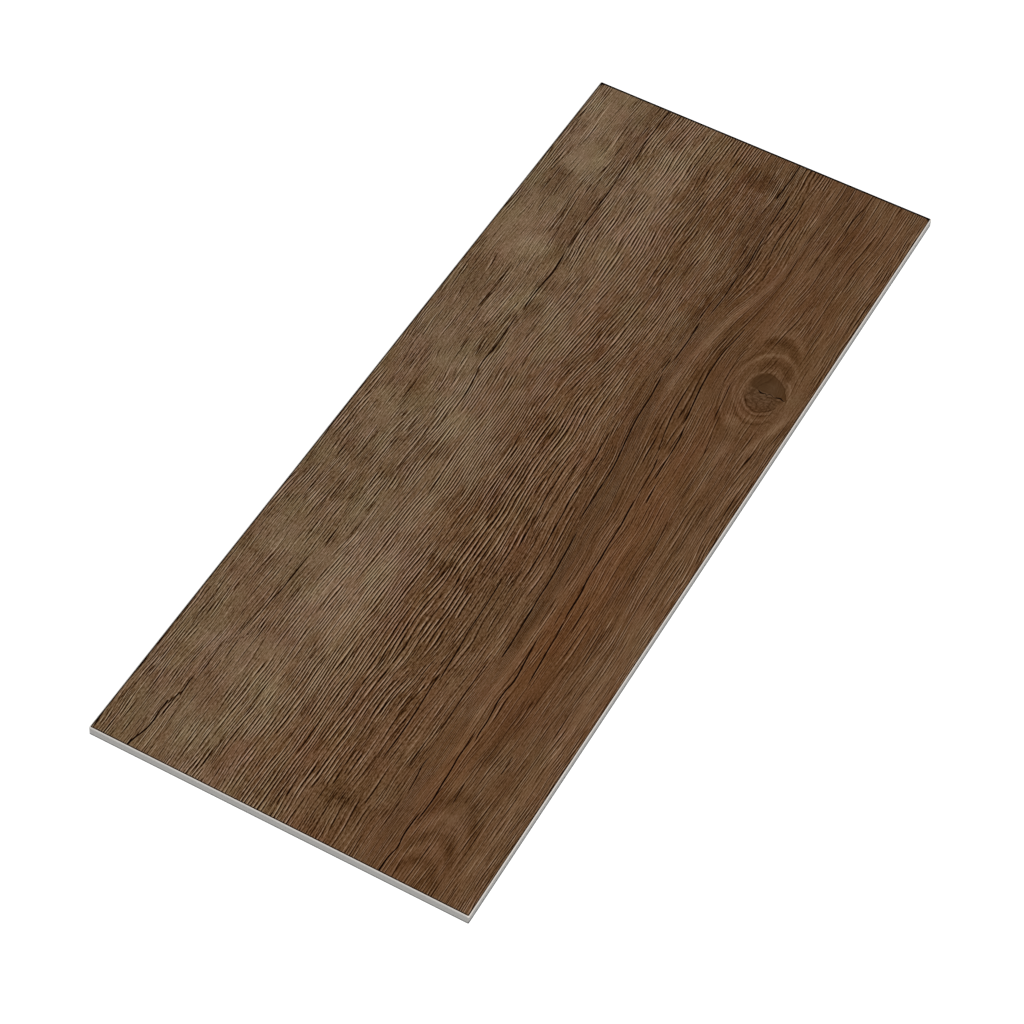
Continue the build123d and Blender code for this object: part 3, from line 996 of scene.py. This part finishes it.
def woodPrintMaterial():
    material, tree, shader = newMaterial("woodPrint")
    flow = named(tree, "grainFlow", "FLOAT_VECTOR")
    split = named(tree, "woodSplit", "FLOAT_VECTOR")
    across, strength = partsOf(flow)[::2]
    tone, warm, inset = partsOf(named(tree, "woodTone", "FLOAT_VECTOR"))
    gap, depth = partsOf(split)[::2]
    turns = named(tree, "lineTurns")
    lines, pores = fineLines(flow, turns, strength), poreLines(flow)
    fine = printGrain(flow, across, turns, lines, pores)
    heart, heartTone, heartCrack, rings = knotHeart(tree)
    fine = times(fine, minus(1.0, times(heart, 0.75)))
    mottle = minus(noise(flow, printLook["mottleCell"], detail=2.0), 0.5)
    broad = plus(tone, times(mottle, printLook["mottle"]))
    broad = plus(broad, times(heart, minus(heartTone, broad)))
    broad = plus(broad, rings)
    # painted highlight: a light lip beside each crack, stronger on its right, standing in for the lit
    # wall of the embossed crack
    side = ramped(named(tree, "splitSide"), -0.8, 0.8, 0.4, 1.0)
    lipHighlight = times(times(ramped(gap, 1.1, 0.5), side), depth)
    broad = plus(broad, times(lipHighlight, printLook["lipHighlight"]))
    cracks = maths("MAXIMUM", crackMask(split), heartCrack)
    total = minus(plus(broad, fine), times(cracks, printLook["crackContrast"]))
    colour = printColour(total, warm)
    rim = ramped(inset, *printLook["rimInset"])
    feed(shader.inputs["Base Color"], blended(rim, colour, linear(*printLook["rim"])))
    feed(shader.inputs["Roughness"], ramped(lines, -1.0, 1.0, *printLook["roughness"]))
    shader.inputs["Specular IOR Level"].default_value = printLook["gloss"]
    bumped(shader, pores, *printLook["bump"])
    return material


def embossed(mesh, material):  # the sheet with its relief, as a plain mesh
    blank = bpy.data.objects.new("printedBlank", mesh)
    scene.collection.objects.link(blank)
    tree = embossTree()
    modifier = blank.modifiers.new("grainEmboss", "NODES")
    modifier.node_group = tree
    values = {"Line Depth": printedFace["lineDepth"], "Crack Depth": printedFace["crackDepth"],
              "Material": material}
    for item in tree.interface.items_tree:
        if item.in_out == "INPUT" and item.name in values:
            modifier[item.identifier] = values[item.name]
    bpy.context.view_layer.update()
    finished = bpy.data.meshes.new_from_object(blank.evaluated_get(bpy.context.evaluated_depsgraph_get()))
    bpy.data.objects.remove(blank)
    finished.name = "printedFace"
    finished.materials.clear()
    finished.materials.append(material)
    return finished


mesh, x, y, inset = printedSheet()
storeFigure(mesh, x, y, inset)
flatPrintMap(mesh)
print("printed face:", len(mesh.vertices), "vertices,", len(mesh.polygons), "faces")

printed = bpy.data.objects.new("printedFace", embossed(mesh, woodPrintMaterial()))
scene.collection.objects.link(printed)
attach(printed, "root")
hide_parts("printed_top_layer")
print("printed face: embossed")


# The core keeps its solid and gets a material with painted shade at its foot and a painted highlight
# along its top; heights are in millimetres from the back

coreLook = {
    "gritCell": 0.35,
    "patchCell": (14.0, 1.2),  # level, upright
    "body": [(0.3, (205, 203, 199)), (0.7, (214, 212, 208))],
    # painted shade: darker towards the bottom of the core's sides, standing in for the contact shadow by
    # the floor
    "footShade": (1.2, 0.0), "footShadeColour": (78, 77, 75),
    "rightFootShade": (2.2, 0.4), "rightFootShadeColour": (74, 73, 71),
    "topHighlight": (4.4, 4.15),  # where the painted highlight along the top of the sides starts, lower on the right edge
    "topHighlightRise": 0.25, "topHighlightColour": (242, 234, 226),
    "bond": (4.63, 4.70), "bondColour": (165, 134, 106),
    "bump": (0.2, 0.04),
}


def coreMaterial():
    material, tree, shader = newMaterial("filledVinyl")
    place = addNode(tree, "ShaderNodeTexCoord").outputs["Object"]
    level, upright = (cell * mm for cell in coreLook["patchCell"])
    grit = noise(place, (coreLook["gritCell"] * mm,) * 3, detail=2.0)
    patches = noise(place, (level, level, upright), detail=3.0)
    body = colourRamp(plus(times(grit, 0.5), times(patches, 0.5)), coreLook["body"])
    across, up = partsOf(scaled(place, (1 / mm,) * 3))[::2]
    right = coreHigh.x / mm
    # painted shade along the foot of the sides, deeper and taller on the right edge
    body = blended(ramped(up, *coreLook["footShade"]), body, linear(*coreLook["footShadeColour"]))
    rightFootShade = ramped(across, right - 0.4, right - 0.1)
    rightFootShade = times(ramped(up, *coreLook["rightFootShade"]), rightFootShade)
    body = blended(rightFootShade, body, linear(*coreLook["rightFootShadeColour"]))
    # painted highlight: a light band along the top of the sides, where the bevel catches the lamp
    start = ramped(across, right - 1.2, right - 0.9, *coreLook["topHighlight"])
    topHighlight = ramped(up, start, plus(start, coreLook["topHighlightRise"]))
    body = blended(topHighlight, body, linear(*coreLook["topHighlightColour"]))
    body = blended(ramped(up, *coreLook["bond"]), body, linear(*coreLook["bondColour"]))
    feed(shader.inputs["Base Color"], body)
    shader.inputs["Roughness"].default_value = 0.6
    shader.inputs["Specular IOR Level"].default_value = 0.3
    bumped(shader, grit, *coreLook["bump"])
    return material


filledVinyl = coreMaterial()
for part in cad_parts["vinyl_core"].material_slots:
    part.material = filledVinyl
print("core: material set")


# Stage: a white floor that keeps a soft shadow, an even sky and one wide lamp

stage = {
    "floorHalf": 6.0,
    "floorDrop": 0.00005,
    "floorGlow": 0.86,  # what the floor shows to the camera besides the light that falls on it
    "floorDiffuse": 0.35,
    "sky": 0.5,
    "lamp": (0.9, -1.4, 3.5),
    "lampSize": 2.2,
    "lampPower": 62.0,
}


def seenRays(tree):  # rays that look at things, as against rays that light them
    path = addNode(tree, "ShaderNodeLightPath").outputs
    either = maths("MAXIMUM", path["Is Camera Ray"], path["Is Glossy Ray"])
    return maths("MAXIMUM", either, path["Is Transmission Ray"])


def mixedShader(factor, first, second):
    node = addNode(treeOf(first), "ShaderNodeMixShader")
    feed(node.inputs[0], factor)
    feed(node.inputs[1], first)
    feed(node.inputs[2], second)
    return node.outputs[0]


def floorMaterial():
    material = bpy.data.materials.new("floor")
    material.use_nodes = True
    tree = material.node_tree
    tree.nodes.remove(tree.nodes["Principled BSDF"])
    glow = addNode(tree, "ShaderNodeEmission")
    glow.inputs["Strength"].default_value = stage["floorGlow"]
    matt = addNode(tree, "ShaderNodeBsdfDiffuse")
    matt.inputs["Color"].default_value = (stage["floorDiffuse"],) * 3 + (1.0,)
    both = addNode(tree, "ShaderNodeAddShader")
    feed(both.inputs[0], glow.outputs[0])
    feed(both.inputs[1], matt.outputs[0])
    out = tree.nodes["Material Output"].inputs[0]
    feed(out, mixedShader(seenRays(tree), matt.outputs[0], both.outputs[0]))
    return material


floorMesh = bpy.data.meshes.new("floor")
half, drop = stage["floorHalf"], -stage["floorDrop"]
floorCorners = [(-half, -half, drop), (half, -half, drop), (half, half, drop), (-half, half, drop)]
floorMesh.from_pydata(floorCorners, [], [(0, 1, 2, 3)])
floorMesh.materials.append(floorMaterial())
floor = bpy.data.objects.new("floor", floorMesh)
scene.collection.objects.link(floor)

world = bpy.data.worlds.new("evenSky")
world.use_nodes = True
scene.world = world
sky = world.node_tree
dim = sky.nodes["Background"]
dim.inputs["Color"].default_value = (1, 1, 1, 1)
dim.inputs["Strength"].default_value = stage["sky"]
white = addNode(sky, "ShaderNodeBackground")
white.inputs["Color"].default_value = (1, 1, 1, 1)
white.inputs["Strength"].default_value = 1.0
skyShader = mixedShader(seenRays(sky), dim.outputs[0], white.outputs[0])
feed(sky.nodes["World Output"].inputs[0], skyShader)

lamp = bpy.data.lights.new("wideLamp", "AREA")
lamp.shape = "DISK"
lamp.size = stage["lampSize"]
lamp.energy = stage["lampPower"]
lampObject = bpy.data.objects.new("wideLamp", lamp)
lampObject.location = stage["lamp"]
lampObject.rotation_euler = (-Vector(stage["lamp"])).to_track_quat("-Z", "Y").to_euler()
scene.collection.objects.link(lampObject)
scene.view_settings.view_transform = "Standard"
print("stage: set")


# Camera, found from the four corners of the face and one of the base

view = {
    "place": (0.374485, -0.842623, 1.084500),
    "target": (0.004744, -0.036878, 0.005),
    "roll": -5.21,
    "lens": 111.72,
    "shift": -0.00012,
}
cameraData = bpy.data.cameras.new("camera")
cameraData.sensor_width = 36.0
cameraData.lens = view["lens"]
cameraData.shift_x = view["shift"]
cameraData.clip_start = 0.01
camera = bpy.data.objects.new("camera", cameraData)
ahead = (Vector(view["target"]) - Vector(view["place"])).normalized()
level = ahead.cross(Vector((0, 0, 1))).normalized()
upright = level.cross(ahead)
roll = math.radians(view["roll"])
up = upright * math.cos(roll) + level * math.sin(roll)
right = ahead.cross(up)
turn = Matrix((right, up, -ahead)).transposed()
camera.matrix_world = Matrix.Translation(view["place"]) @ turn.to_4x4()
scene.collection.objects.link(camera)
scene.camera = camera
print("camera: set")
